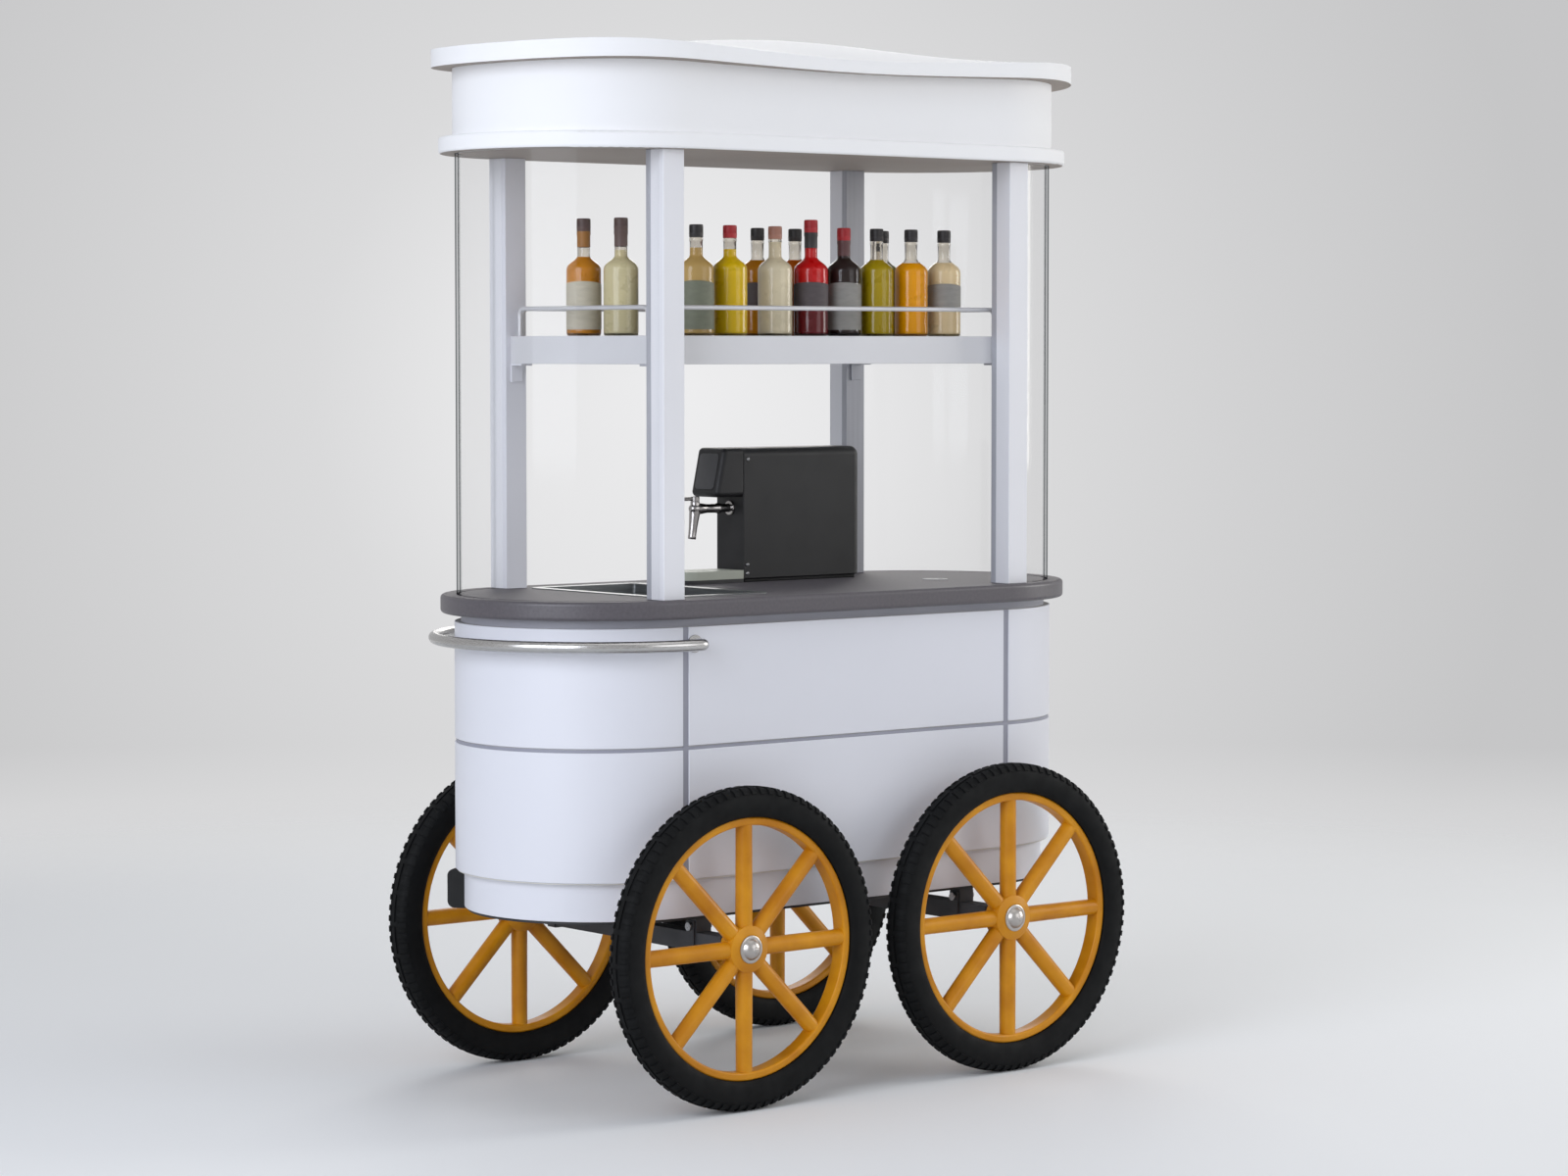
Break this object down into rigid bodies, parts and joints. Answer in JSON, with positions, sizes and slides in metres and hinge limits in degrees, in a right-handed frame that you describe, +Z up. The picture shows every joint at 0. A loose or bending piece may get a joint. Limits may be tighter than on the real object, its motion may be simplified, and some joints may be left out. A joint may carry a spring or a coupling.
{
  "type": "cocktail cart",
  "caption": "Mobile bar cart with rounded ends on spoked wheels: panelled cabinet, counter with sink and tap, bottle shelf between posts and bent glass, wavy-edged canopy.",
  "frame": {"origin": "on the floor under the middle of the cart", "axes": "+X along the cart away from the push handle, +Y towards the attendant's side, +Z up"},
  "size_m": [1.6409, 0.894, 2.294],
  "materials": {
    "tyre_rubber": "matte black rubber with a shallow block tread",
    "wheel_ochre": "ochre gloss paint on turned wood",
    "bright_chrome": "polished chrome",
    "bearing_steel": "ground and plated steel",
    "frame_paint": "satin grey paint on steel",
    "pan_metal": "plain mill sheet",
    "panel_white": "white laminate with a soft gloss",
    "board_white": "white faced board",
    "seam_grey": "grey trim strip",
    "stainless": "brushed stainless steel",
    "neck_grey": "matte grey",
    "counter_grey": "dark grey laminate on board",
    "black_plastic": "moulded black plastic",
    "tank_plastic": "milky blow-moulded plastic",
    "post_white": "white powder coat",
    "liner_grey": "grey anodised bar",
    "clear_glass": "clear bent glass",
    "shelf_grey": "light grey powder coat",
    "bottle_glass": "tinted glass with liquid and a bare label",
    "cap_plastic": "moulded screw cap",
    "canopy_white": "white painted board",
    "charcoal_plastic": "fine-grained charcoal plastic",
    "tray_plastic": "moulded charcoal plastic",
    "grid_plastic": "pale grey plastic"
  },
  "bodies": {
    "cart": {"tap_body": "bright_chrome", "wheel_bearings": "bearing_steel", "axle_nuts": "bearing_steel", "clamp_bolts": "bearing_steel", "axles": "frame_paint", "axle_hangers": "frame_paint", "axle_clamps": "frame_paint", "chassis_frame": "frame_paint", "floor_pan": "pan_metal", "skirt_band": "panel_white", "end_panels_lower": "panel_white", "end_panels_upper": "panel_white", "front_panel_lower": "panel_white", "front_panel_upper": "panel_white", "back_panels": "panel_white", "deck": "board_white", "carcass": "board_white", "seam_strips": "seam_grey", "flap_hinge_base": "stainless", "flap_hinge_pin": "stainless", "sink_basin": "stainless", "sink_waste": "stainless", "push_handle": "stainless", "neck_ring": "neck_grey", "counter_top": "counter_grey", "counter_grommet": "black_plastic", "lashing_lug": "black_plastic", "waste_tank": "tank_plastic", "posts": "post_white", "post_liners": "liner_grey", "glass_left": "clear_glass", "glass_right": "clear_glass", "bottle_shelf": "shelf_grey", "shelf_brackets": "shelf_grey", "gallery_rails": "shelf_grey", "bottles": "bottle_glass", "bottle_caps": "cap_plastic", "cornice": "canopy_white", "fascia": "canopy_white", "roof": "canopy_white", "dispenser_body": "charcoal_plastic", "dispenser_head": "charcoal_plastic", "drip_tray": "tray_plastic", "drip_grid": "grid_plastic"},
    "front_left_wheel": {"tyre_front_left": "tyre_rubber", "wheel_front_left": "wheel_ochre", "hub_cap_front_left": "bright_chrome"},
    "front_right_wheel": {"tyre_front_right": "tyre_rubber", "wheel_front_right": "wheel_ochre", "hub_cap_front_right": "bright_chrome"},
    "back_left_wheel": {"tyre_back_left": "tyre_rubber", "wheel_back_left": "wheel_ochre", "hub_cap_back_left": "bright_chrome"},
    "back_right_wheel": {"tyre_back_right": "tyre_rubber", "wheel_back_right": "wheel_ochre", "hub_cap_back_right": "bright_chrome"},
    "flap": {"service_flap": "panel_white", "flap_knob": "stainless", "flap_hinge_leaf": "stainless"},
    "tap_handle": {"tap_lever": "bright_chrome"}
  },
  "joints": [
    {"name": "front_left_spin", "type": "hinge", "parent": "cart", "child": "front_left_wheel", "pos_m": [-0.38, -0.404, 0.345], "axis": [0, 1, 0], "continuous": true},
    {"name": "front_right_spin", "type": "hinge", "parent": "cart", "child": "front_right_wheel", "pos_m": [0.38, -0.404, 0.345], "axis": [0, 1, 0], "continuous": true},
    {"name": "back_left_spin", "type": "hinge", "parent": "cart", "child": "back_left_wheel", "pos_m": [-0.38, 0.404, 0.345], "axis": [0, 1, 0], "continuous": true},
    {"name": "back_right_spin", "type": "hinge", "parent": "cart", "child": "back_right_wheel", "pos_m": [0.38, 0.404, 0.345], "axis": [0, 1, 0], "continuous": true},
    {"name": "flap_swing", "type": "hinge", "parent": "cart", "child": "flap", "pos_m": [0.02425, 0.312, 1.031], "axis": [1, 0, 0], "range_deg": [0, 80]},
    {"name": "tap_turn", "type": "hinge", "parent": "cart", "child": "tap_handle", "pos_m": [-0.062, 0.161, 1.268], "axis": [0, 0, 1], "range_deg": [0, 90]}
  ]
}
